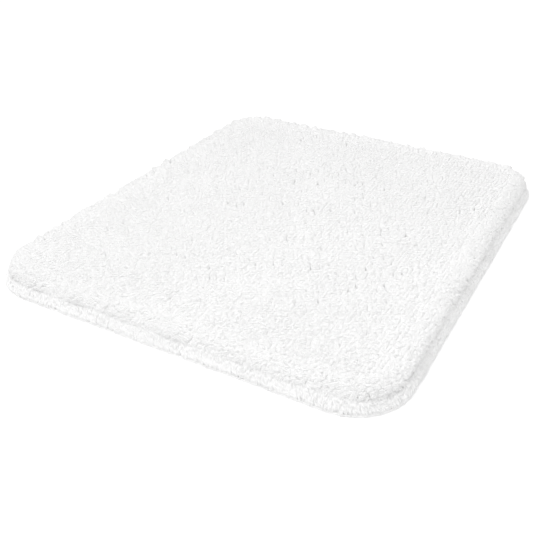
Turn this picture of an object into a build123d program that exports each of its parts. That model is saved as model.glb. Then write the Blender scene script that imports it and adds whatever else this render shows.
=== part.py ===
"""A deep-pile bath mat, built up from the floor: anti-slip sheet, latex, tufting cloth and pile,
with a tape folded round the edge and stitched through. Millimetres, +Z up, origin at the middle
of the underside. The pile yarns run in rows along Y, the mat's length."""

from build123d import *
import os

# The whole mat
WIDTH = 550.0
LENGTH = 650.0
HEIGHT = 33.0
CORNER_RADIUS = 70.0

# Hem: a tape folded round the edge of all the flat layers
TAPE_THICKNESS = 0.6
TAPE_LEG = 11.0  # how far each leg of the folded tape reaches in from the edge
TAPE_FOLD_RADIUS = 0.4
SEAM_INSET = 7.5  # edge of the mat to the middle of the seam
SEAM_GROOVE_WIDTH = 1.1
THREAD_WIDTH = 0.9
THREAD_SINK = 0.3  # how deep the threads pull into the tape
STITCH_PITCH = 5.0
STITCH_LENGTH = 4.2

# Flat layers, from the floor up
BACKING_THICKNESS = 1.4
PRECOAT_THICKNESS = 0.7
CLOTH_THICKNESS = 0.7

# Tufting
TUFT_ROW_PITCH = 5.0
TUFT_ROW_INSET = 14.0  # edge of the mat to the first row of tufts
BACK_STITCH_WIDTH = 1.8
BACK_STITCH_DEPTH = 0.4

# Pile
PILE_INSET = 1.5  # the foot of the pile stands back from the hem's edge
PILE_LEAN = 7.0  # degrees that the sides lean in towards the top
PILE_SHOULDER = 16.0

# Blank care label, caught under the hem tape in the middle of the far side
LABEL_WIDTH = 30.0
LABEL_DROP = 42.0  # how far it shows beyond the tape
LABEL_TUCK = 6.0  # how far it is tucked under the tape
LABEL_THICKNESS = 0.4

BACKING_TOP = BACKING_THICKNESS
PRECOAT_TOP = BACKING_TOP + PRECOAT_THICKNESS
CLOTH_TOP = PRECOAT_TOP + CLOTH_THICKNESS
HEM_HEIGHT = CLOTH_TOP + TAPE_THICKNESS

os.makedirs("parts", exist_ok=True)


def mat_outline(inset, mode=Mode.ADD):
    """The mat's outline, drawn in by inset all round, for the sketch that is open."""
    RectangleRounded(WIDTH - 2 * inset, LENGTH - 2 * inset, CORNER_RADIUS - inset, mode=mode)


def seam_band():
    """The groove that the seam pulls into the tape, for the sketch that is open."""
    mat_outline(SEAM_INSET - SEAM_GROOVE_WIDTH / 2)
    mat_outline(SEAM_INSET + SEAM_GROOVE_WIDTH / 2, mode=Mode.SUBTRACT)


def finish(builder, node):
    """Label a finished piece and write its STEP file."""
    builder.part.label = node
    export_step(builder.part, f"parts/{node}.step")


# Care label: a flat strip on the underside that steps up to pass above the tape's lower leg
label_edge = LENGTH / 2 - TAPE_LEG
with BuildPart() as care_label:
    with BuildSketch(Plane.YZ.offset(-LABEL_WIDTH / 2)):
        with BuildLine():
            Polyline(
                (label_edge - LABEL_DROP, 0),
                (label_edge, 0),
                (label_edge, TAPE_THICKNESS),
                (label_edge + LABEL_TUCK, TAPE_THICKNESS),
                (label_edge + LABEL_TUCK, TAPE_THICKNESS + LABEL_THICKNESS),
                (label_edge - LABEL_THICKNESS, TAPE_THICKNESS + LABEL_THICKNESS),
                (label_edge - LABEL_THICKNESS, LABEL_THICKNESS),
                (label_edge - LABEL_DROP, LABEL_THICKNESS),
                close=True,
            )
        make_face()
    extrude(amount=LABEL_WIDTH)
finish(care_label, "care_label")

# Anti-slip sheet: it meets the floor inside the hem, and its rim passes above the tape's lower leg
with BuildPart() as anti_slip_backing:
    with BuildSketch():
        mat_outline(TAPE_LEG)
    extrude(amount=BACKING_THICKNESS)
    with BuildSketch(Plane.XY.offset(TAPE_THICKNESS)):
        mat_outline(TAPE_THICKNESS)
    extrude(amount=BACKING_THICKNESS - TAPE_THICKNESS)
    add(care_label.part, mode=Mode.SUBTRACT)
finish(anti_slip_backing, "anti_slip_backing")

# Back-stitches: one flat yarn for each tufting row, shorter where the corners round off
row_half_width = WIDTH / 2 - TUFT_ROW_INSET
row_count = int(2 * row_half_width // TUFT_ROW_PITCH) + 1
with BuildPart() as tuft_back_stitches:
    with BuildSketch(Plane.XY.offset(PRECOAT_TOP - BACK_STITCH_DEPTH)):
        with GridLocations(TUFT_ROW_PITCH, 1, row_count, 1):
            Rectangle(BACK_STITCH_WIDTH, LENGTH)
        mat_outline(TUFT_ROW_INSET, mode=Mode.INTERSECT)
    extrude(amount=BACK_STITCH_DEPTH)
finish(tuft_back_stitches, "tuft_back_stitches")

# Latex precoat: it flows round the back-stitches, so their rows are grooves in its upper face
with BuildPart() as latex_precoat:
    with BuildSketch(Plane.XY.offset(BACKING_TOP)):
        mat_outline(TAPE_THICKNESS)
    extrude(amount=PRECOAT_THICKNESS)
    add(tuft_back_stitches.part, mode=Mode.SUBTRACT)
finish(latex_precoat, "latex_precoat")

# Tufting cloth
with BuildPart() as tufting_cloth:
    with BuildSketch(Plane.XY.offset(PRECOAT_TOP)):
        mat_outline(TAPE_THICKNESS)
    extrude(amount=CLOTH_THICKNESS)
finish(tufting_cloth, "tufting_cloth")

# Edge binding: a tape of C-shaped section, with the seam's groove in both legs
with BuildPart() as edge_binding:
    with BuildSketch():
        mat_outline(0)
    extrude(amount=HEM_HEIGHT)
    fillet(edge_binding.edges().filter_by(Plane.XY), radius=TAPE_FOLD_RADIUS)
    with BuildSketch():
        mat_outline(TAPE_LEG)
    extrude(amount=HEM_HEIGHT, mode=Mode.SUBTRACT)
    with BuildSketch(Plane.XY.offset(TAPE_THICKNESS)):
        mat_outline(TAPE_THICKNESS)
    extrude(amount=HEM_HEIGHT - 2 * TAPE_THICKNESS, mode=Mode.SUBTRACT)
    for groove_foot in (0, HEM_HEIGHT - THREAD_SINK):
        with BuildSketch(Plane.XY.offset(groove_foot)):
            seam_band()
        extrude(amount=THREAD_SINK, mode=Mode.SUBTRACT)
finish(edge_binding, "edge_binding")

# Hem seam: the same lockstitches from both sides, one thread above the tape and one below
with BuildSketch() as seam:
    mat_outline(SEAM_INSET)
seam_line = seam.sketch.faces()[0].outer_wire()
stitch_count = round(seam_line.length / STITCH_PITCH)
stitch_places = []
for stitch in range(stitch_count):
    place = seam_line.position_at(stitch / stitch_count)
    along = seam_line.tangent_at(stitch / stitch_count)
    heading = Vector(1, 0, 0).get_signed_angle(along, Vector(0, 0, 1))
    stitch_places.append(Location((place.X, place.Y, 0), (0, 0, heading)))

for node, thread_foot in (
    ("hem_bobbin_thread", 0),
    ("hem_needle_thread", HEM_HEIGHT - THREAD_SINK),
):
    with BuildPart() as thread:
        with BuildSketch(Plane.XY.offset(thread_foot)):
            with Locations(*stitch_places):
                SlotOverall(STITCH_LENGTH, THREAD_WIDTH)
        extrude(amount=THREAD_SINK)
    finish(thread, node)

# Pile: rooted in the cloth inside the hem, then one soft block that leans in to a round shoulder
with BuildPart() as pile:
    with BuildSketch(Plane.XY.offset(HEM_HEIGHT)):
        mat_outline(PILE_INSET)
    extrude(amount=HEIGHT - HEM_HEIGHT, taper=PILE_LEAN)
    fillet(pile.edges().group_by(Axis.Z)[-1], radius=PILE_SHOULDER)
    with BuildSketch(Plane.XY.offset(CLOTH_TOP)):
        mat_outline(TAPE_LEG)
    extrude(amount=TAPE_THICKNESS)
finish(pile, "pile")
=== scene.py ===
"""The looks of a white deep-pile bath mat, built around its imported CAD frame. Metres, +Z up."""

import math

import bpy
import numpy as np
from mathutils import Matrix, Vector


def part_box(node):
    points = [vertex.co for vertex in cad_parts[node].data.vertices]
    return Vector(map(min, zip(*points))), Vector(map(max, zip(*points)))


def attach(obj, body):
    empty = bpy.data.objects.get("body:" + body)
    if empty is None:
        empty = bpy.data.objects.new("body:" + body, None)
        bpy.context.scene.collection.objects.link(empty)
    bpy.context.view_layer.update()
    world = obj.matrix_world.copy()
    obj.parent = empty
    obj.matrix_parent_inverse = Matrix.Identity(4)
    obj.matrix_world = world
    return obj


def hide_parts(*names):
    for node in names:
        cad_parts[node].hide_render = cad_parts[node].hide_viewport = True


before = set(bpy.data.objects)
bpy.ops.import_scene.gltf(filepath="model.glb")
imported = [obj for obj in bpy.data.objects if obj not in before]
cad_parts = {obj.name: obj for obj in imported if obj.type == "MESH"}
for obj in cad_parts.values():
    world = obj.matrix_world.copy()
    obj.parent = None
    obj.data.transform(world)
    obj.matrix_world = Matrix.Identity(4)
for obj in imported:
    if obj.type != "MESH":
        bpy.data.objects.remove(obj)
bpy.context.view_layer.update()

rng = np.random.default_rng(42)

# ---------------------------------------------------------------- driving sizes, in metres
MM = 0.001
HALF_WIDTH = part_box("edge_binding")[1].x
HALF_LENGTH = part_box("edge_binding")[1].y
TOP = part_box("pile")[1].z
HEM_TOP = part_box("edge_binding")[1].z
FLOOR_GAP = 0.3 * MM  # no tuft goes lower than this
CORNER = 70 * MM  # plan radius of the mat's corners

# Top of the pile
TOP_SINK = 1.2 * MM  # the top lies this far below the CAD's, before its swell and its bumps
TOP_SWELL = 0.7 * MM
RUFFLED_EDGE = 60 * MM  # over this distance to the edge the top's bumps grow
TUFT_PITCH_X = 5.0 * MM
TUFT_PITCH_Y = 5.6 * MM
TUFT_JITTER = 0.8 * MM  # how far tufts stand off their regular places, as a standard deviation
TUFT_SHOWN = 9 * MM  # how much of a tuft is built, from its tip down
TUFT_RADIUS = 3.6 * MM
LEAN = 0.05  # how far patches of neighbouring tufts lean together
LEAN_START = 60 * MM  # where the flat top's tufts start to lean outwards, in from the edge
LEAN_SPAN = 35 * MM  # how far it takes them to lean out fully
SUNK_INSET = 58 * MM  # no tuft nearer the edge than this is sunk
SUNK_DEPTH = (5, 9)  # millimetres that the sunk tufts are below the others
SHOULDER = 25 * MM  # where the flat top starts to round off, in from the edge
TOP_EDGE = 5.0 * MM  # the lip of the shoulder, in from the edge
SHOULDER_STEP = 4.4 * MM  # from each tuft to the next along a tier
SHOULDER_TIERS = 8
SHOULDER_RADIUS = 3.7 * MM
SHOULDER_TURN = 1.35  # radians that the shoulder turns through before the lip
DROOP = 0.35  # how far the shoulder's tufts are laid over, outwards and down
BANDS = 9  # the flat top's tufts are dealt into this many pieces along the length

# Sides of the pile: a band that falls over the hem, below a crease under the top's edge
CREASE_HEIGHT = 16.5 * MM
CREASE_RISE = 1.8 * MM  # how far the crease wanders up and down
CREASE_DEPTH = (0.5 * MM, 4.5 * MM)  # into the side, where the crease is closed and where it gapes
CREASE_START = 0.6  # share of the side's height above which it turns in to the crease
SIDE_FOOT_GAP = 0.2 * MM  # clearance between the hem and the side's lowest tips
SIDE_LEAN = 5.0 * MM
SIDE_BULGE = 0.9 * MM
SIDE_STEP = 3.5 * MM
SIDE_JITTER = 0.6 * MM
SIDE_TIERS = 6
SIDE_RADIUS = 2.7 * MM
SIDE_REACH = 0.62  # how far above its tip a tuft starts, as a share of the side's height
TIER_SHIFT = 0.618  # each tier is moved along by this share of a step, so that no columns line up

# Hem: the folded tape and its seam
TAPE_LEG = 11 * MM
TAPE_THICKNESS = 0.6 * MM
RIB_PITCH = 2.4 * MM
RIB_DEPTH = 0.08 * MM
SEAM_INSET = 7.5 * MM
STITCH_PITCH = 5.0 * MM
STITCH_LENGTH = 4.2 * MM
STITCH_SINK = 0.47 * MM  # middle of the thread, in from the tape's face
STITCH_DIVE = 0.6 * MM  # how much deeper the ends of a stitch go
PLY_RADIUS = 0.24 * MM  # each thread is two plies twisted together
PLY_OFFSET = 0.85  # middle of a ply to the middle of the thread, as a share of the ply's radius
PLY_TURNS = 1.4  # turns of the twist along one stitch
PLY_STEPS = 8  # points along each ply of a stitch
STITCH_PHASE = 0.7  # radians that the twist is further on at each stitch

# Underside
SHEET_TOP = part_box("anti_slip_backing")[1].z
SHEET_FACE = 0.35 * MM  # the underside of the anti-slip sheet, between its dots
SHEET_RIM_GAP = 0.1 * MM  # clearance between the sheet's rim and the tape
DOT_PITCH = 11 * MM
DOT_RADIUS = 2.3 * MM
DOT_CLEARANCE = 1 * MM
LABEL_LOW, LABEL_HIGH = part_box("care_label")
LABEL_THICKNESS = 0.28 * MM
SELVEDGE_START = 0.85  # share of the label's half width beyond which it is thickest
LABEL_BODY = 0.72  # thickness between the selvedges, as a share of theirs
LABEL_RIB = 0.18  # how much of the thickness is lost between the ribs


# ---------------------------------------------------------------- the mat's outline
def outline(x, y):
    """How far each point is inside the mat's edge, and the direction straight out of the edge."""
    qx = np.abs(x) - (HALF_WIDTH - CORNER)
    qy = np.abs(y) - (HALF_LENGTH - CORNER)
    in_corner = (qx > 0) & (qy > 0)
    reach = np.hypot(np.maximum(qx, 0), np.maximum(qy, 0))
    inside = CORNER - np.where(in_corner, reach, np.maximum(qx, qy))
    far = np.maximum(reach, 1e-9)
    along_x = qx > qy
    nx = np.where(in_corner, np.maximum(qx, 0) / far, along_x) * np.sign(x)
    ny = np.where(in_corner, np.maximum(qy, 0) / far, ~along_x) * np.sign(y)
    return inside, nx, ny


def edge_length():
    return 4 * (HALF_WIDTH + HALF_LENGTH - 2 * CORNER) + 2 * math.pi * CORNER


def around(s):
    """The point on the mat's edge at distance s along it, and the direction straight out there."""
    side_x, side_y = 2 * (HALF_WIDTH - CORNER), 2 * (HALF_LENGTH - CORNER)
    arc = CORNER * math.pi / 2
    starts = np.concatenate([[0], np.cumsum([side_x, arc, side_y, arc] * 2)])
    s = np.mod(s, starts[-1])
    k = np.clip(np.searchsorted(starts, s, side="right") - 1, 0, 7)
    t = s - starts[k]
    side = k // 2
    on_arc = k % 2 == 1
    turn = (side - 1) * math.pi / 2
    angle = np.where(on_arc, turn + t / CORNER, turn)
    nx, ny = np.cos(angle), np.sin(angle)
    # the middle of the corner arc that ends each side, in the order that the sides are met
    cx = np.array([1, 1, -1, -1])[side] * (HALF_WIDTH - CORNER)
    cy = np.array([-1, 1, 1, -1])[side] * (HALF_LENGTH - CORNER)
    back = np.where(on_arc, 0, np.array([side_x, side_y, side_x, side_y])[side] - t)
    return cx + CORNER * nx + back * ny, cy + CORNER * ny - back * nx, nx, ny


def quarter(s):
    """Which quarter of the way round each place on the edge is in."""
    return np.clip((np.mod(s, edge_length()) / edge_length() * 4).astype(int), 0, 3)


# ---------------------------------------------------------------- smooth random fields
def waves(count, scale, seed):
    """A smooth random field over the plan, mostly from -1 to 1, whose bumps are about scale wide."""
    r = np.random.default_rng(seed)
    angle = r.uniform(0, 2 * math.pi, count)
    k = 2 * math.pi / scale * r.uniform(0.5, 1.3, count)
    phase = r.uniform(0, 2 * math.pi, count)

    def field(x, y):
        x, y = np.asarray(x)[..., None], np.asarray(y)[..., None]
        return np.sin(x * k * np.cos(angle) + y * k * np.sin(angle) + phase).sum(-1) / math.sqrt(count)

    return field


# How many waves each field has, how wide they are, and its seed
swell = waves(9, 150 * MM, 1)  # the top isn't quite flat
clump = waves(14, 17 * MM, 2)  # neighbouring tufts lean on each other
lean_x = waves(12, 45 * MM, 3)
lean_y = waves(12, 45 * MM, 4)
crease_rise = waves(8, 75 * MM, 5)
crease_open = waves(10, 42 * MM, 6)
side_comb = waves(9, 60 * MM, 7)  # how far the side's tufts are combed along the edge
thin_places = waves(7, 160 * MM, 8)  # where more of the top's tufts are sunk


def near(x, y, at_x, at_y, size):
    """1 at a place of the plan, falling smoothly to 0 within about twice the size."""
    return np.exp(-((x - at_x) ** 2 + (y - at_y) ** 2) / size**2)


def gape(x, y):
    """How far the crease under the top's edge stands open at this part of the edge, from 0 to 1."""
    opening = 0.20 + 0.28 * crease_open(x, y)  # a little everywhere, here more and there less
    opening += 0.65 * near(x, y, -HALF_WIDTH, -HALF_LENGTH, 90 * MM)  # the left corner
    opening += 0.50 * near(x, y, HALF_WIDTH, -HALF_LENGTH + 90 * MM, 60 * MM)  # round the front corner
    opening += 0.22 * (x > HALF_WIDTH - 20 * MM)  # along the right side
    opening -= 0.45 * near(x, y, HALF_WIDTH - 110 * MM, -HALF_LENGTH, 100 * MM)  # closed before that corner
    return np.clip(opening, 0, 1)


# ---------------------------------------------------------------- the pile's outer surface
def top_height(x, y):
    """Height of the pile's flat top."""
    near_edge = np.clip(1 - outline(x, y)[0] / RUFFLED_EDGE, 0, 1)
    back_and_left = y / HALF_LENGTH - x / HALF_WIDTH
    ruffled = np.clip(0.6 + 0.7 * back_and_left, 0.15, 1)
    bumps = (0.3 + 2.6 * near_edge * ruffled) * MM * clump(x, y)
    return TOP - TOP_SINK + TOP_SWELL * swell(x, y) + bumps


def crease_height(x, y):
    return CREASE_HEIGHT + CREASE_RISE * crease_rise(x, y)


def side_point(s, v, sink):
    """A point of the side at distance s along the edge: v runs from 0 at the hem to 1 in the crease,
    and sink is how far it lies below the pile's surface."""
    ex, ey, nx, ny = around(s)
    foot = HEM_TOP + SIDE_FOOT_GAP
    z = foot + v * (crease_height(ex, ey) - foot)
    low, high = CREASE_DEPTH
    depth = low + (high - low) * gape(ex, ey)
    bulge = SIDE_BULGE * np.sin(math.pi * np.clip(v * 1.6 + 0.25, 0, 1))
    lean = SIDE_LEAN * np.clip(v, 0, 1) - bulge
    inset = lean + depth * np.clip((v - CREASE_START) / (1 - CREASE_START), 0, 1.5) ** 1.5 + sink
    return np.stack([ex - inset * nx, ey - inset * ny, z], -1)


# ---------------------------------------------------------------- building meshes
CORE_SIDES, CORE_FLUTE, CORE_RAGGED = 5, 0.05, 0.25 * MM
END_SIDES, END_TAPER = 4, (0.8, 1.0)
MOST_TWIST = 1.2  # radians that a yarn's furrows turn along it
SUNFLOWER_TURN = 2.4  # radians from each yarn end in a tuft to the next


def mesh_piece(name, points, triangles, material, values=None):
    """A smooth-shaded mesh object from arrays, with a material and values for each point."""
    mesh = bpy.data.meshes.new(name)
    mesh.vertices.add(len(points))
    mesh.vertices.foreach_set("co", np.asarray(points, np.float32).ravel())
    mesh.loops.add(3 * len(triangles))
    mesh.loops.foreach_set("vertex_index", np.asarray(triangles, np.int32).ravel())
    mesh.polygons.add(len(triangles))
    mesh.polygons.foreach_set("loop_start", np.arange(len(triangles), dtype=np.int32) * 3)
    mesh.polygons.foreach_set("loop_total", np.full(len(triangles), 3, np.int32))
    mesh.polygons.foreach_set("use_smooth", np.ones(len(triangles), bool))
    for key, column in (values or {}).items():
        column = np.asarray(column, np.float32)
        kind, slot = ("FLOAT", "value") if column.ndim == 1 else ("FLOAT_VECTOR", "vector")
        mesh.attributes.new(key, kind, "POINT").data.foreach_set(slot, column.ravel())
    mesh.update()
    mesh.validate()
    mesh.materials.append(material)
    piece = bpy.data.objects.new(name, mesh)
    bpy.context.scene.collection.objects.link(piece)
    return piece


def unit(v):
    return v / np.linalg.norm(v, axis=-1, keepdims=True)


def axes_across(run):
    """Two directions square to each run, and to each other."""
    across = unit(np.cross(run, np.array([0.31, 0.83, 0.46])))  # any slanting direction would do
    return across, np.cross(run, across)


def tube_triangles(rings, sides):
    """Triangles of one closed tube: its first ring is capped, its last ring meets at an end point."""
    found = [(0, k + 1, k) for k in range(1, sides - 1)]
    for r in range(rings - 1):
        for k in range(sides):
            a, b = r * sides + k, r * sides + (k + 1) % sides
            found += [(a, b, b + sides), (a, b + sides, a + sides)]
    last = (rings - 1) * sides
    found += [(last + k, last + (k + 1) % sides, last + sides) for k in range(sides)]
    return np.array(found)


def yarns(paths, radius, taper, sides, shade, flute=0.0, ragged=0.0):
    """A closed tube along each path (yarn, ring, 3), whose last point is the tip. Flute is how deep the
    furrows along it are, as a share of its radius, and ragged is how uneven its last ring is."""
    count, steps = paths.shape[:2]
    rings = steps - 1
    centres = paths[:, :-1]
    run = unit(np.gradient(paths, axis=1))[:, :-1]
    across, up = axes_across(run)
    angle = rng.uniform(0, 2 * math.pi, (count, 1, 1)) + 2 * math.pi * np.arange(sides) / sides
    share = np.linspace(0, 1, rings)[None, :, None]
    turned = angle + share * rng.uniform(-MOST_TWIST, MOST_TWIST, (count, 1, 1))
    lobes = 1 + flute * (  # three furrows and four furrows, one over the other, and a little noise
        np.cos(3 * turned + rng.uniform(0, 2 * math.pi, (count, 1, 1)))
        + 0.8 * np.cos(4 * turned + rng.uniform(0, 2 * math.pi, (count, 1, 1)))
        + rng.normal(0, 0.4, (count, rings, sides))
    )
    reach = (radius[:, None, None] * np.asarray(taper)[None, :, None] * lobes)[..., None]
    slip = (ragged * share * rng.normal(0, 1, (count, rings, sides)))[..., None]
    out = np.cos(angle)[..., None] * across[:, :, None] + np.sin(angle)[..., None] * up[:, :, None]
    skin = centres[:, :, None] + reach * out + slip * run[:, :, None]
    points = np.concatenate([skin.reshape(count, rings * sides, 3), paths[:, -1:]], 1)
    size = points.shape[1]
    one = tube_triangles(rings, sides)
    triangles = one[None] + size * np.arange(count)[:, None, None]
    along = np.append(np.repeat(np.linspace(0, 0.9, rings), sides), 1.0)
    grain = np.zeros((count, size, 3))
    width = radius[:, None, None] / MM
    grain[:, :-1, 0] = (width * np.cos(angle) + np.zeros((1, rings, 1))).reshape(count, -1)
    grain[:, :-1, 1] = (width * np.sin(angle) + np.zeros((1, rings, 1))).reshape(count, -1)
    grain[..., 2] = along[None] + 90 * rng.uniform(0, 1, (count, 1))  # each yarn has fibres of its own
    values = {
        "along": np.tile(along, count),
        "shade": np.repeat(shade, size),
        "grain": grain.reshape(-1, 3),
    }
    return points.reshape(-1, 3), triangles.reshape(-1, 3), values


def merge(parts):
    """One set of points, triangles and values from several."""
    start = np.cumsum([0] + [len(points) for points, _, _ in parts])
    return (
        np.concatenate([points for points, _, _ in parts]),
        np.concatenate([triangles + first for (_, triangles, _), first in zip(parts, start)]),
        {key: np.concatenate([values[key] for _, _, values in parts]) for key in parts[0][2]},
    )


def yarn_ends(paths, radius, shade, each, thick, splay, proud, dome, uneven, shown):
    """The cut ends of the yarns in each tuft, packed round its tip like the seeds of a sunflower. Thick is
    their radius, splay how far they fan out, proud how far they stand above the core, dome how much lower
    the outer ones end, uneven the spread of their lengths, and shown how much of them is built."""
    count = len(paths)
    n = count * each
    place = np.tile(np.arange(each), count)
    foot, tip, size = (np.repeat(v, each, 0) for v in (paths[:, 0], paths[:, -1], radius))
    bend = np.repeat(paths[:, len(paths[0]) // 2], each, 0) - (foot + tip) / 2
    run = unit(np.repeat(paths[:, -1] - paths[:, -2], each, 0))
    across, up = axes_across(run)
    first = np.repeat(rng.uniform(0, 2 * math.pi, count), each)
    angle = SUNFLOWER_TURN * place + first + rng.normal(0, 0.2, n)
    out = np.cos(angle)[:, None] * across + np.sin(angle)[:, None] * up
    share = np.sqrt((place + 0.5) / each)
    heading = unit(run + out * (splay * share * rng.uniform(0.4, 1.4, n))[:, None])
    end = tip + out * (share * (size - thick))[:, None] + run * (proud - dome * share**2)[:, None]
    end += heading * (uneven * rng.normal(0, 1, n))[:, None]
    start = end - heading * (shown * rng.uniform(0.9, 1.1, n))[:, None] + 0.5 * bend
    ends = np.stack([start, end - 0.3 * thick * heading, end], 1)
    tint = np.clip(np.repeat(shade, each) + rng.normal(0, 0.05, n), 0, 1)
    return yarns(ends, thick * rng.uniform(0.8, 1.2, n), END_TAPER, END_SIDES, tint)


def tuft_pieces(name, band, paths, radius, shade, taper, ends):
    """One piece of whole tufts, each a core with its yarn ends, for each band."""
    pieces = []
    for b in np.unique(band):
        k = band == b
        core = yarns(paths[k], radius[k], taper, CORE_SIDES, shade[k], CORE_FLUTE, CORE_RAGGED)
        points, triangles, values = merge([core, yarn_ends(paths[k], radius[k], shade[k], **ends)])
        points[:, 2] = np.maximum(points[:, 2], FLOOR_GAP)
        pieces.append(mesh_piece(f"{name}_{b + 1}", points, triangles, pile_yarn, values=values))
    return pieces


# ---------------------------------------------------------------- materials
def new_material(name):
    material = bpy.data.materials.new(name)
    material.use_nodes = True
    nodes = material.node_tree.nodes
    return material, nodes, material.node_tree.links, nodes["Principled BSDF"]


def attribute(nodes, name):
    node = nodes.new("ShaderNodeAttribute")
    node.attribute_name = name
    return node


def spread(nodes, links, source, low, high, source_low=0.3, source_high=0.7):
    """A value that runs from low to high as the source runs over its range, by default that of noise."""
    node = nodes.new("ShaderNodeMapRange")
    node.inputs["From Min"].default_value = source_low
    node.inputs["From Max"].default_value = source_high
    node.inputs["To Min"].default_value = low
    node.inputs["To Max"].default_value = high
    links.new(source, node.inputs["Value"])
    return node.outputs["Result"]


def product(nodes, links, a, b):
    node = nodes.new("ShaderNodeMath")
    node.operation = "MULTIPLY"
    links.new(a, node.inputs[0])
    links.new(b, node.inputs[1])
    return node.outputs["Value"]


def noise(nodes, links, vector, scale, detail=2):
    node = nodes.new("ShaderNodeTexNoise")
    node.inputs["Scale"].default_value = scale
    node.inputs["Detail"].default_value = detail
    links.new(vector, node.inputs["Vector"])
    return node.outputs["Fac"]


# Painted light: the roots are paler than the tips, to lift the shade deep between the tufts
ROOT_COLOUR = (0.872, 0.871, 0.870, 1)
TIP_COLOUR = (0.837, 0.836, 0.835, 1)


def pile_material():
    """White cut-pile yarn: fine fibres along each yarn, roots painted paler than tips as painted light that
    lifts the shade deep in the pile, tufts a shade apart.
    """
    material, nodes, links, shader = new_material("white_pile_yarn")
    place = nodes.new("ShaderNodeTexCoord").outputs["Object"]
    streaks = noise(nodes, links, attribute(nodes, "grain").outputs["Vector"], 2.2, 3)
    patches = noise(nodes, links, place, 14)
    root_to_tip = nodes.new("ShaderNodeValToRGB")
    root_to_tip.color_ramp.elements[0].color = ROOT_COLOUR
    root_to_tip.color_ramp.elements[1].position = 0.75
    root_to_tip.color_ramp.elements[1].color = TIP_COLOUR
    links.new(attribute(nodes, "along").outputs["Fac"], root_to_tip.inputs["Fac"])
    # The shade value holds each tuft's own random tone and, for sunk, shoulder and side tufts, painted
    # shade
    tint = product(nodes, links,
                   spread(nodes, links, attribute(nodes, "shade").outputs["Fac"], 0.84, 1.0, 0, 1),
                   spread(nodes, links, patches, 0.985, 1.01))
    tint = product(nodes, links, tint, spread(nodes, links, streaks, 0.975, 1.01))
    tinted = nodes.new("ShaderNodeVectorMath")
    tinted.operation = "SCALE"
    links.new(root_to_tip.outputs["Color"], tinted.inputs[0])
    links.new(tint, tinted.inputs["Scale"])
    links.new(tinted.outputs["Vector"], shader.inputs["Base Color"])
    links.new(spread(nodes, links, streaks, 0.78, 0.98), shader.inputs["Roughness"])
    bump = nodes.new("ShaderNodeBump")
    bump.inputs["Strength"].default_value = 0.4
    bump.inputs["Distance"].default_value = 0.25 * MM
    links.new(streaks, bump.inputs["Height"])
    links.new(bump.outputs["Normal"], shader.inputs["Normal"])
    shader.inputs["Sheen Weight"].default_value = 0.25
    shader.inputs["Sheen Roughness"].default_value = 0.5
    shader.inputs["Specular IOR Level"].default_value = 0.2
    return material


def in_mm(nodes, links):
    """Object coordinates in millimetres."""
    node = nodes.new("ShaderNodeVectorMath")
    node.operation = "SCALE"
    node.inputs["Scale"].default_value = 1 / MM
    links.new(nodes.new("ShaderNodeTexCoord").outputs["Object"], node.inputs[0])
    return node.outputs["Vector"]


def threads(nodes, links, vector, direction, pitch):
    """Side-by-side threads, from 0 in the gaps between them to 1 on their backs."""
    node = nodes.new("ShaderNodeTexWave")
    node.bands_direction = direction
    node.inputs["Scale"].default_value = math.pi / 10 / pitch  # at a scale of pi / 10 it repeats every 1
    node.inputs["Distortion"].default_value = 0.5
    node.inputs["Detail"].default_value = 1
    links.new(vector, node.inputs["Vector"])
    return node.outputs["Fac"]


def surface(nodes, links, shader, colour, tints, height, relief, rough):
    """Colour, roughness and bump from a height and the tints that multiply the colour."""
    tint = tints[0]
    for other in tints[1:]:
        tint = product(nodes, links, tint, other)
    tinted = nodes.new("ShaderNodeVectorMath")
    tinted.operation = "SCALE"
    tinted.inputs[0].default_value = colour
    links.new(tint, tinted.inputs["Scale"])
    links.new(tinted.outputs["Vector"], shader.inputs["Base Color"])
    links.new(spread(nodes, links, height, rough[1], rough[0], 0, 1), shader.inputs["Roughness"])
    bump = nodes.new("ShaderNodeBump")
    bump.inputs["Strength"].default_value = 0.5
    bump.inputs["Distance"].default_value = relief
    links.new(height, bump.inputs["Height"])
    links.new(bump.outputs["Normal"], shader.inputs["Normal"])


def woven_material(name, colour, pitches, relief, rough, vector_name=None):
    """Plain-woven cloth: two sets of threads that cross, a little uneven in shade."""
    material, nodes, links, shader = new_material(name)
    vector = attribute(nodes, vector_name).outputs["Vector"] if vector_name else in_mm(nodes, links)
    along = threads(nodes, links, vector, "X", pitches[0])
    across = threads(nodes, links, vector, "Y", pitches[1])
    weave = product(nodes, links,
                    spread(nodes, links, along, 0.4, 1, 0, 1),
                    spread(nodes, links, across, 0.4, 1, 0, 1))
    tints = (spread(nodes, links, weave, 0.88, 1.0, 0.1, 0.9),
             spread(nodes, links, noise(nodes, links, vector, 0.35), 0.96, 1.01))
    surface(nodes, links, shader, colour, tints, weave, relief, rough)
    shader.inputs["Sheen Weight"].default_value = 0.2
    shader.inputs["Specular IOR Level"].default_value = 0.3
    return material


def thread_material():
    """Spun sewing thread, its fibres running along each ply."""
    material, nodes, links, shader = new_material("white_sewing_thread")
    vector = attribute(nodes, "grain").outputs["Vector"]
    fibres = noise(nodes, links, vector, 6, 3)
    tints = (spread(nodes, links, fibres, 0.88, 1.0),
             spread(nodes, links, attribute(nodes, "shade").outputs["Fac"], 0.96, 1.0, 0, 1))
    surface(nodes, links, shader, (0.93, 0.93, 0.92), tints, fibres, 0.1 * MM, (0.5, 0.75))
    shader.inputs["Sheen Weight"].default_value = 0.2
    return material


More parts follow.
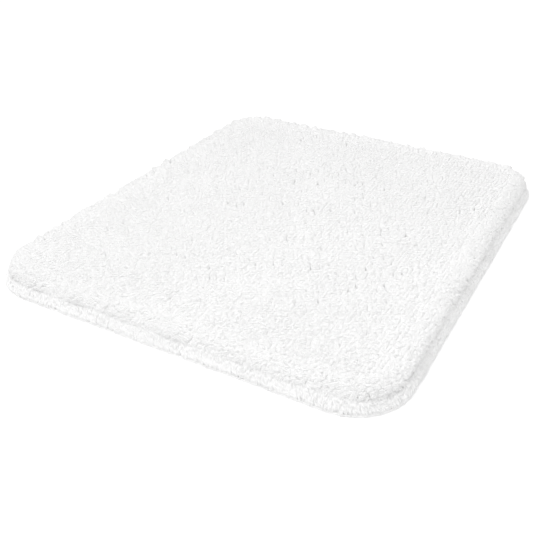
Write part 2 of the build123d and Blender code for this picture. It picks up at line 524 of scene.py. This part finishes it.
def back_stitch_material():
    """The pile's yarn seen from behind, its fibres running along the rows."""
    material, nodes, links, shader = new_material("white_back_stitches")
    stretched = nodes.new("ShaderNodeVectorMath")
    stretched.operation = "MULTIPLY"
    stretched.inputs[1].default_value = (1.0, 0.12, 1.0)
    links.new(in_mm(nodes, links), stretched.inputs[0])
    fibres = noise(nodes, links, stretched.outputs["Vector"], 3, 3)
    stitches = threads(nodes, links, in_mm(nodes, links), "Y", 3.2)
    tints = (spread(nodes, links, fibres, 0.9, 1.0), spread(nodes, links, stitches, 0.85, 1.0, 0, 1))
    surface(nodes, links, shader, (0.9, 0.9, 0.89), tints, stitches, 0.3 * MM, (0.8, 0.95))
    shader.inputs["Sheen Weight"].default_value = 0.25
    return material


def cast_material(name, colour, mottle, grain, relief, rough):
    """A poured or moulded layer: slightly mottled, with a fine uneven skin."""
    material, nodes, links, shader = new_material(name)
    vector = in_mm(nodes, links)
    skin = noise(nodes, links, vector, grain, 4)
    tints = (spread(nodes, links, noise(nodes, links, vector, 0.05, 3), 1 - mottle, 1.0),
             spread(nodes, links, skin, 0.95, 1.01))
    surface(nodes, links, shader, colour, tints, skin, relief, rough)
    shader.inputs["Specular IOR Level"].default_value = 0.4
    return material


# ---------------------------------------------------------------- pile: the bed that closes the gaps
# In from the edge, and height, of the bed's side, in millimetres
BED_PROFILE = (
    (2.5, 2.9), (3.0, 5), (5.5, 10), (8.5, 14), (9.0, 17),
    (10, 21), (13, 24.8), (17, 27), (26, 28.3), (42, 23.5),
)
BED_STEPS = 460  # points round the outline


def pile_bed():
    """The dense lower part of the pile: a closed shell that the tufts stand in."""
    ex, ey, nx, ny = around(np.linspace(0, edge_length(), BED_STEPS, endpoint=False))
    rings = []
    for inset, z in BED_PROFILE:
        rings.append(np.stack([ex - inset * MM * nx, ey - inset * MM * ny, np.full_like(ex, z * MM)], 1))
    for shrink in (0.75, 0.5, 0.25):
        rings.append(rings[len(BED_PROFILE) - 1] * np.array([shrink, shrink, 1]))
    points = np.concatenate(rings + [[[0, 0, BED_PROFILE[-1][1] * MM]], [[0, 0, BED_PROFILE[0][1] * MM]]])
    k = np.arange(BED_STEPS)
    j = (k + 1) % BED_STEPS
    found = []
    for r in range(len(rings) - 1):
        a, b = r * BED_STEPS + k, r * BED_STEPS + j
        found += [np.stack([a, b, b + BED_STEPS], 1), np.stack([a, b + BED_STEPS, a + BED_STEPS], 1)]
    top, bottom = len(points) - 2, len(points) - 1
    last = (len(rings) - 1) * BED_STEPS
    found.append(np.stack([last + k, last + j, np.full(BED_STEPS, top)], 1))
    found.append(np.stack([j, k, np.full(BED_STEPS, bottom)], 1))
    values = {"along": np.full(len(points), 0.2), "shade": np.full(len(points), 0.5), "grain": 150 * points}
    return mesh_piece("pile_bed", points, np.concatenate(found), pile_yarn, values=values)


# ---------------------------------------------------------------- pile: the tufts of the top
CORE_RINGS = np.array([0.0, 0.88, 1.0])  # places along a tuft's core, from foot to tip
CORE_BELOW = 0.9 * MM  # the cores of the tufts end this far below the pile's surface
TOP_ENDS = {"each": 10, "thick": 0.86 * MM, "splay": 0.6, "proud": 1.1 * MM, "dome": 1.0 * MM,
            "uneven": 0.30 * MM, "shown": 3.2 * MM}
SHOULDER_ENDS = {"each": 10, "thick": 0.86 * MM, "splay": 0.4, "proud": 0.9 * MM, "dome": 1.0 * MM,
                 "uneven": 0.30 * MM, "shown": 4.5 * MM}


def standing(tips, lay):
    """Straight tuft cores that end just below the given tips."""
    shown = TUFT_SHOWN * rng.uniform(0.95, 1.1, len(tips))
    core_tip = tips - lay * CORE_BELOW
    return core_tip[:, None] - lay[:, None] * ((1 - CORE_RINGS)[None] * shown[:, None])[..., None]


def top_tufts():
    """The tufts of the flat top, on a grid whose every second column is moved by half a pitch."""
    cols = int(2 * HALF_WIDTH / TUFT_PITCH_X)
    rows = int(2 * HALF_LENGTH / TUFT_PITCH_Y)
    col, row = np.meshgrid(np.arange(cols), np.arange(rows), indexing="xy")
    x = ((col - (cols - 1) / 2) * TUFT_PITCH_X).ravel()
    y = ((row - (rows - 1) / 2 + 0.5 * (col % 2)) * TUFT_PITCH_Y).ravel()
    x = x + rng.normal(0, TUFT_JITTER, len(x))
    y = y + rng.normal(0, TUFT_JITTER, len(y))
    keep = outline(x, y)[0] > SHOULDER - 1 * MM
    apart = ((2 * col + row) % 5 == 0).ravel()[keep]  # no two of these tufts are neighbours
    x, y = x[keep], y[keep]
    n = len(x)
    inside, nx, ny = outline(x, y)
    often = 0.10 + 0.20 * np.clip(thin_places(x, y), 0, 1)
    often = often + 0.42 * near(x, y, 90 * MM, 20 * MM, 190 * MM)  # most are right of the middle
    sunk = apart & (inside > SUNK_INSET) & (rng.uniform(0, 1, n) < often)
    ruffle = (0.24 + 0.24 * y / HALF_LENGTH) * MM
    z = top_height(x, y) + ruffle * rng.normal(0, 1, n) - sunk * rng.uniform(*SUNK_DEPTH, n) * MM
    outward = DROOP * np.clip((LEAN_START - inside) / LEAN_SPAN, 0, 1)
    loose = 0.05 * (1 + 0.5 * y / HALF_LENGTH)  # neighbours lie less alike towards the back
    lay = unit(np.stack([
        LEAN * lean_x(x, y) + loose * rng.normal(0, 1, n) + outward * nx,
        LEAN * lean_y(x, y) + loose * rng.normal(0, 1, n) + outward * ny,
        np.ones(n),
    ], 1))
    full = 1 - 0.13 * y / HALF_LENGTH  # the pile looks fuller towards the front
    radius = TUFT_RADIUS * full * rng.uniform(0.88, 1.1, n) * (1 - 0.25 * sunk)
    # sunk tufts are painted darker: painted shade in the pinholes they leave
    shade = rng.uniform(0.85, 1, n) - 0.85 * sunk
    band = np.argsort(np.argsort(y)) * BANDS // n
    paths = standing(np.stack([x, y, z], 1), lay)
    return tuft_pieces("pile_band", band, paths, radius, shade, (1.0, 0.95), TOP_ENDS)


def shoulder_tufts():
    """The tufts that round off the top's edge, out to the lip over the crease."""
    per_tier = int(edge_length() / SHOULDER_STEP)
    tier = np.arange(SHOULDER_TIERS)
    s = ((np.arange(per_tier)[:, None] + TIER_SHIFT * tier[None]) * SHOULDER_STEP).ravel()
    w = np.repeat(np.linspace(0.06, 1.0, SHOULDER_TIERS)[None], per_tier, 0).ravel()  # 1 at the lip
    n = len(s)
    s = s + rng.normal(0, TUFT_JITTER, n)
    turn = SHOULDER_TURN * np.clip(w + rng.normal(0, 0.035, n), 0, 1.1)
    ex, ey, nx, ny = around(s)
    wide = SHOULDER - TOP_EDGE
    inset = SHOULDER - wide * np.sin(turn) / math.sin(SHOULDER_TURN)
    x, y = ex - inset * nx, ey - inset * ny
    front_corner = near(ex, ey, HALF_WIDTH, -HALF_LENGTH + 70 * MM, 90 * MM)
    ragged = 2.0 + 1.6 * front_corner
    lip = crease_height(ex, ey) + (0.8 + 2.6 * gape(ex, ey) + ragged * clump(1.5 * ex, 1.5 * ey)) * MM
    deep = (top_height(x, y) - lip) / (1 - math.cos(SHOULDER_TURN))
    away = np.clip(0.5 * (ey / HALF_LENGTH - ex / HALF_WIDTH) + 0.5, 0, 1)  # rougher at the back and left, and painted darker there (painted shade)
    rough = (0.1 + 0.8 * away) * MM
    z = top_height(x, y) - deep * (1 - np.cos(turn)) + rough * rng.normal(0, 1, n)
    out, up = unit(np.stack([deep * np.sin(turn), wide * np.cos(turn)], -1)).T
    out, up = out + DROOP * up, up - DROOP * out
    loose = 0.04 + 0.14 * away
    lay = unit(np.stack([
        out * nx + LEAN * lean_x(x, y) + loose * rng.normal(0, 1, n),
        out * ny + LEAN * lean_y(x, y) + loose * rng.normal(0, 1, n),
        up + loose * rng.normal(0, 1, n),
    ], 1))
    radius = SHOULDER_RADIUS * rng.uniform(0.85, 1.15, n)
    # Painted shade: the shoulder's tufts are tinted darker than the top's, darker still towards the lip as
    # the crease gapes, and over the outer tiers at the back and left
    lip_shade = np.clip((w - 0.5) / 0.5, 0, 1) * (0.4 + 0.6 * gape(ex, ey))
    over_edge = np.clip(w / 0.3, 0, 1)
    shade = rng.uniform(0.58, 0.73, n) - 0.40 * lip_shade - 0.50 * away * over_edge
    paths = standing(np.stack([x, y, z], 1), lay)
    return tuft_pieces("pile_shoulder", quarter(s), paths, radius, shade, (0.9, 0.8), SHOULDER_ENDS)


# ---------------------------------------------------------------- pile: the tufts that fall over the side
SIDE_RINGS = np.array([0.0, 0.55, 0.92, 1.0])  # places along a tuft's core, from foot to tip
SIDE_TAPER = (0.8, 0.95, 0.7)
SIDE_ENDS = {"each": 12, "thick": 0.66 * MM, "splay": 0.12, "proud": 0.6 * MM, "dome": 1.0 * MM,
             "uneven": 1.0 * MM, "shown": 6.5 * MM}


def side_tufts():
    """The tufts between the hem and the crease, which hang down and are combed along the edge."""
    per_tier = int(edge_length() / SIDE_STEP)
    tier = np.arange(SIDE_TIERS)
    s = ((np.arange(per_tier)[:, None] + TIER_SHIFT * tier[None]) * SIDE_STEP).ravel()
    v = np.repeat(np.linspace(0.0, 0.98, SIDE_TIERS)[None], per_tier, 0).ravel()
    n = len(s)
    s = s + rng.normal(0, SIDE_JITTER, n)
    x, y, _, _ = around(s)
    v = np.clip(v + rng.normal(0, 0.05, n), 0.02, 1.04 - 0.10 * gape(x, y))
    comb = 0.40 + 0.40 * side_comb(x, y) + rng.normal(0, 0.10, n)  # how far over, for each step up
    foot_v = np.minimum(v + SIDE_REACH, 1.10)
    back = 1 - SIDE_RINGS[None]
    path_v = v[:, None] + (foot_v - v)[:, None] * back
    rise = (path_v - v[:, None]) * CREASE_HEIGHT
    sink = (1.3 + 2.6 * back**1.5) * MM  # the feet lie deeper than the tips
    paths = side_point(s[:, None] - comb[:, None] * rise, path_v, sink + 0 * path_v)
    radius = SIDE_RADIUS * rng.uniform(0.85, 1.15, n)
    # Painted shade: the side's tufts are tinted darker than the top's, and darker still high up in the
    # crease, the more it gapes
    crease_shade = np.clip((v - 0.55) / 0.45, 0, 1) * (0.3 + 0.7 * gape(x, y))
    shade = rng.uniform(0.63, 0.78, n) - 0.6 * crease_shade
    return tuft_pieces("pile_side", quarter(s), paths, radius, shade, SIDE_TAPER, SIDE_ENDS)


# ---------------------------------------------------------------- hem
# In from the edge, and height, in millimetres, round the folded tape's section from its lower leg
TAPE_PROFILE = (
    (11.0, 0.12), (10.8, 0.0), (8.4, 0.0), (8.05, 0.04), (7.8, 0.3), (7.2, 0.3), (6.95, 0.04), (6.6, 0.0),
    (3.6, 0.0), (1.3, 0.0), (0.4, 0.25), (0.0, 0.9), (0.0, 1.7), (0.0, 2.5), (0.4, 3.15), (1.3, 3.4),
    (3.6, 3.4), (6.6, 3.4), (6.95, 3.36), (7.2, 3.1), (7.8, 3.1), (8.05, 3.36), (8.4, 3.4), (10.8, 3.4),
    (11.0, 3.25), (11.0, 2.85), (5.0, 2.8), (1.2, 2.8), (0.65, 2.3), (0.65, 1.1), (1.2, 0.6), (5.0, 0.6),
    (11.0, 0.55),
)
RIBBED = 25  # the first 25 places of the profile are on the tape's outer face


def hem_tape():
    """The tape folded round the edge of all the layers, with ribs across it and the seam's groove."""
    profile = np.array(TAPE_PROFILE) * MM
    run = np.roll(profile, -1, 0) - np.roll(profile, 1, 0)
    out = unit(np.stack([-run[:, 1], run[:, 0]], 1))
    steps = 2 * int(edge_length() / RIB_PITCH)
    s = np.linspace(0, edge_length(), steps, endpoint=False)
    ex, ey, nx, ny = around(s)
    dip = RIB_DEPTH * (np.arange(steps) % 2)
    rings = []
    for k, (inset, z) in enumerate(profile):
        lower = dip * (k < RIBBED)
        reach = inset - lower * out[k, 0]
        rings.append(np.stack([ex - reach * nx, ey - reach * ny, z - lower * out[k, 1]], 1))
    walked = np.cumsum(np.append(0, np.linalg.norm(np.diff(profile, axis=0), axis=1)))
    level = np.zeros(steps * len(profile))
    grain = np.stack([np.tile(s, len(profile)), np.repeat(walked, steps), level], 1) / MM
    k = np.arange(steps)
    j = (k + 1) % steps
    found = []
    for r in range(len(profile)):
        here, there = r * steps, (r + 1) % len(profile) * steps
        found.append(np.stack([here + k, here + j, there + j], 1))
        found.append(np.stack([here + k, there + j, there + k], 1))
    points, triangles = np.concatenate(rings), np.concatenate(found)
    return mesh_piece("hem_tape_fold", points, triangles, tape_weave, values={"grain": grain})


def stitches(name, height, dive):
    """A row of two-ply lockstitches at this height, whose ends dive into the tape."""
    seam_length = edge_length() - 2 * math.pi * SEAM_INSET
    count = round(seam_length / STITCH_PITCH)
    t = np.linspace(-0.5, 0.5, PLY_STEPS)
    middle = np.arange(count) * edge_length() / count
    s = (middle[:, None] + STITCH_LENGTH * t[None])[:, None] + np.zeros((1, 2, 1))
    ex, ey, nx, ny = around(s)
    ply = np.array([0, 0.5])[None, :, None]
    phase = STITCH_PHASE * np.arange(count)[:, None, None]
    turn = 2 * math.pi * (PLY_TURNS * t[None, None] + ply) + phase
    inset = SEAM_INSET + PLY_OFFSET * PLY_RADIUS * np.cos(turn)
    z = height + PLY_OFFSET * PLY_RADIUS * np.sin(turn) + dive * (2 * np.abs(t)) ** 5
    paths = np.stack([ex - inset * nx, ey - inset * ny, z], -1).reshape(2 * count, len(t), 3)
    radius = np.full(2 * count, PLY_RADIUS)
    shade = rng.uniform(0, 1, 2 * count)
    points, triangles, values = yarns(paths, radius, np.ones(PLY_STEPS - 1), 4, shade)
    return mesh_piece(name, points, triangles, sewing_thread, values=values)


# ---------------------------------------------------------------- underside
def closed_layer(profile, low, high):
    """A flat closed layer with the mat's outline: rings of (inset, height) up its side, then two faces."""
    steps = 320
    ex, ey, nx, ny = around(np.linspace(0, edge_length(), steps, endpoint=False))
    rings = [np.stack([ex - i * nx, ey - i * ny, np.full(steps, z)], 1) for i, z in profile]
    points = np.concatenate(rings + [[[0, 0, low]], [[0, 0, high]]])
    k = np.arange(steps)
    j = (k + 1) % steps
    found = []
    for r in range(len(rings) - 1):
        a, b = r * steps + k, r * steps + j
        found += [np.stack([a, b, b + steps], 1), np.stack([a, b + steps, a + steps], 1)]
    last = (len(rings) - 1) * steps
    found.append(np.stack([j, k, np.full(steps, len(points) - 2)], 1))
    found.append(np.stack([last + k, last + j, np.full(steps, len(points) - 1)], 1))
    values = {"shade": np.full(len(points), 0.5), "along": np.full(len(points), 0.5), "grain": points / MM}
    return points, np.concatenate(found), values


def anti_slip_sheet():
    """The moulded anti-slip sheet: low round dots on a thin sheet, left out under the care label."""
    rim = TAPE_THICKNESS + SHEET_RIM_GAP
    sheet = closed_layer(
        ((TAPE_LEG, SHEET_FACE), (TAPE_LEG, TAPE_THICKNESS), (rim, TAPE_THICKNESS), (rim, SHEET_TOP)),
        SHEET_FACE, SHEET_TOP,
    )
    cols = int(HALF_WIDTH / DOT_PITCH)
    rows = int(HALF_LENGTH / (DOT_PITCH * math.sqrt(3) / 2))  # the dots stand in equal triangles
    col, row = np.meshgrid(np.arange(-cols, cols + 1), np.arange(-rows, rows + 1), indexing="xy")
    x = ((col + 0.5 * (row % 2)) * DOT_PITCH).ravel()
    y = (row * DOT_PITCH * math.sqrt(3) / 2).ravel()
    clear = DOT_RADIUS + DOT_CLEARANCE
    on_label = (np.abs(x) < LABEL_HIGH.x + clear) & (y > LABEL_LOW.y - clear)
    keep = (outline(x, y)[0] > TAPE_LEG + clear) & ~on_label
    x, y = x[keep], y[keep]
    heights = np.array([SHEET_FACE + 0.3 * MM, 0.07 * MM, 0])  # root, start of the rounding, lowest point
    paths = np.stack([x[:, None] + 0 * heights, y[:, None] + 0 * heights, heights + 0 * x[:, None]], -1)
    dots = yarns(paths, np.full(len(x), DOT_RADIUS), (1.0, 0.82), 8, np.full(len(x), 0.5))
    points, triangles, values = merge([sheet, dots])
    return mesh_piece("anti_slip_sheet", points, triangles, rubber, values=values)


def care_label():
    """A blank ribbon with raised selvedges, flat on the underside and tucked above the tape's lower leg."""
    leg = HALF_LENGTH - TAPE_LEG
    low = 0.02 * MM + LABEL_THICKNESS / 2
    # its middle is low over most of its length, then bends up to pass above the leg
    bend_y = np.array([LABEL_LOW.y, leg - 1.6 * MM, leg + 0.2 * MM, leg + 1.4 * MM, LABEL_HIGH.y])
    bend_z = np.array([low, low, 0.5 * MM, 0.8 * MM, 0.8 * MM])
    rows, cols = 97, 17
    y = np.linspace(bend_y[0], bend_y[-1], rows)
    z = np.interp(y, bend_y, bend_z)
    across = np.linspace(-1, 1, cols)
    selvedge = np.where(np.abs(across) > SELVEDGE_START, 1.0, LABEL_BODY)
    ends = np.abs(across) < 1
    rib = 1 - LABEL_RIB * (np.arange(rows) % 2)
    half = 0.5 * LABEL_THICKNESS * selvedge[None] * rib[:, None] * np.where(ends, 1, 0.4)[None]
    flat = np.stack([np.tile(across * LABEL_HIGH.x, (rows, 1)), np.tile(y[:, None], (1, cols)),
                     np.tile(z[:, None], (1, cols))], -1)
    lift = np.zeros_like(flat)
    lift[..., 2] = half
    points = np.concatenate([(flat - lift).reshape(-1, 3), (flat + lift).reshape(-1, 3)])
    grid = np.arange(rows * cols).reshape(rows, cols)
    a, b, c, d = (g.ravel() for g in (grid[:-1, :-1], grid[:-1, 1:], grid[1:, 1:], grid[1:, :-1]))
    upper = rows * cols
    found = [np.stack([a, c, b], 1), np.stack([a, d, c], 1),
             np.stack([a, b, c], 1) + upper, np.stack([a, c, d], 1) + upper]
    rim = np.concatenate([grid[0, :-1], grid[:-1, -1], grid[-1, :0:-1], grid[:0:-1, 0]])
    after = np.roll(rim, -1)
    found += [np.stack([rim, after, after + upper], 1), np.stack([rim, after + upper, rim + upper], 1)]
    return mesh_piece("blank_care_label", points, np.concatenate(found), ribbon)


# ---------------------------------------------------------------- camera, light and floor
AZIMUTH, ELEVATION = math.radians(29.3), math.radians(31.5)
DISTANCE = 1.0735  # camera to the mat's origin, along the view
MAT_RIGHT, MAT_UP = 0.0374, 0.0544  # where the mat's origin stands in the view, from its middle
LENS, SENSOR = 50.1, 36.0  # millimetres
HORIZON_LIGHT, ZENITH_LIGHT = 0.50, 1.55  # how strong the studio's light is, level and from straight above
SIDEWAYS = 0.38  # how much darker the studio is straight to the right of the mat
BEHIND = 0.48  # how much darker it is straight behind the mat
LIGHTS = (  # name, place, size, power
    ("key", (-0.25, -0.9, 1.7), 1.2, 3.4),
    ("front", (0.05, -0.45, 1.1), 0.9, 5.2),
)


def stage():
    camera = bpy.data.objects.new("camera", bpy.data.cameras.new("camera"))
    bpy.context.scene.collection.objects.link(camera)
    camera.data.lens, camera.data.sensor_width = LENS, SENSOR
    forward = Vector((-math.sin(AZIMUTH) * math.cos(ELEVATION),
                      math.cos(AZIMUTH) * math.cos(ELEVATION), -math.sin(ELEVATION)))
    right = Vector((math.cos(AZIMUTH), math.sin(AZIMUTH), 0))
    up = right.cross(forward)
    turned = Matrix((right, up, -forward)).transposed().to_4x4()
    camera.matrix_world = Matrix.Translation(-DISTANCE * forward - MAT_RIGHT * right - MAT_UP * up) @ turned
    bpy.context.scene.camera = camera

    bpy.ops.mesh.primitive_plane_add(size=30)
    floor = bpy.context.object
    floor.name = "floor"
    material, nodes, links, shader = new_material("pale_floor")
    shader.inputs["Base Color"].default_value = (1.0, 1.0, 1.0, 1)
    shader.inputs["Roughness"].default_value = 0.9
    shader.inputs["Specular IOR Level"].default_value = 0.1
    floor.data.materials.append(material)

    world = bpy.data.worlds.new("studio")
    world.use_nodes = True
    nodes, links = world.node_tree.nodes, world.node_tree.links
    nodes["Background"].inputs["Color"].default_value = (1, 1, 1, 1)
    height = nodes.new("ShaderNodeSeparateXYZ")
    links.new(nodes.new("ShaderNodeTexCoord").outputs["Generated"], height.inputs["Vector"])
    strength = product(nodes, links,
                       spread(nodes, links, height.outputs["Z"], HORIZON_LIGHT, ZENITH_LIGHT, 0, 1),
                       spread(nodes, links, height.outputs["X"], 1, 1 - SIDEWAYS, 0, 1))
    strength = product(nodes, links, strength,
                       spread(nodes, links, height.outputs["Y"], 1, 1 - BEHIND, 0, 1))
    links.new(strength, nodes["Background"].inputs["Strength"])
    bpy.context.scene.world = world
    for name, place, size, power in LIGHTS:
        light = bpy.data.objects.new(name, bpy.data.lights.new(name, "AREA"))
        light.data.shape, light.data.size, light.data.energy = "DISK", size, power
        light.location = place
        light.rotation_euler = (-Vector(place)).to_track_quat("-Z", "Y").to_euler()
        bpy.context.scene.collection.objects.link(light)
    view = bpy.context.scene.view_settings
    view.view_transform = "Standard"
    view.look = "None"
    view.gamma = 1.6


# ---------------------------------------------------------------- putting it together
def fit(piece, node):
    """This piece is what shows of a CAD node."""
    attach(piece, "root")
    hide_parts(node)


stage()
pile_yarn = pile_material()
tape_weave = woven_material(
    "white_tape_weave", (0.93, 0.93, 0.925), pitches=(0.8, 0.6), relief=0.12 * MM, rough=(0.7, 0.9),
    vector_name="grain",
)
sewing_thread = thread_material()
rubber = cast_material(
    "pale_anti_slip_rubber", (0.80, 0.80, 0.785), mottle=0.03, grain=1.3, relief=0.08 * MM,
    rough=(0.5, 0.68),
)
ribbon = woven_material(
    "white_label_ribbon", (0.9, 0.9, 0.9), pitches=(0.35, 0.5), relief=0.05 * MM, rough=(0.4, 0.6),
)

bed = pile_bed()
for piece in [bed] + top_tufts() + shoulder_tufts() + side_tufts():
    fit(piece, "pile")

tape = hem_tape()
fit(tape, "edge_binding")
fit(stitches("needle_stitches", HEM_TOP - STITCH_SINK, -STITCH_DIVE), "hem_needle_thread")
fit(stitches("bobbin_stitches", STITCH_SINK, STITCH_DIVE), "hem_bobbin_thread")

sheet = anti_slip_sheet()
fit(sheet, "anti_slip_backing")
label = care_label()
fit(label, "care_label")

latex = cast_material(
    "cream_latex", (0.84, 0.82, 0.74), mottle=0.08, grain=0.7, relief=0.15 * MM, rough=(0.4, 0.6),
)
back_stitch_yarn = back_stitch_material()
tufting_weave = woven_material(
    "pale_tufting_cloth", (0.83, 0.82, 0.77), pitches=(1.6, 1.9), relief=0.3 * MM, rough=(0.55, 0.8),
)
for node, material in (
    ("latex_precoat", latex),
    ("tuft_back_stitches", back_stitch_yarn),
    ("tufting_cloth", tufting_weave),
):
    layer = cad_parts[node]
    layer.data.materials.clear()
    layer.data.materials.append(material)
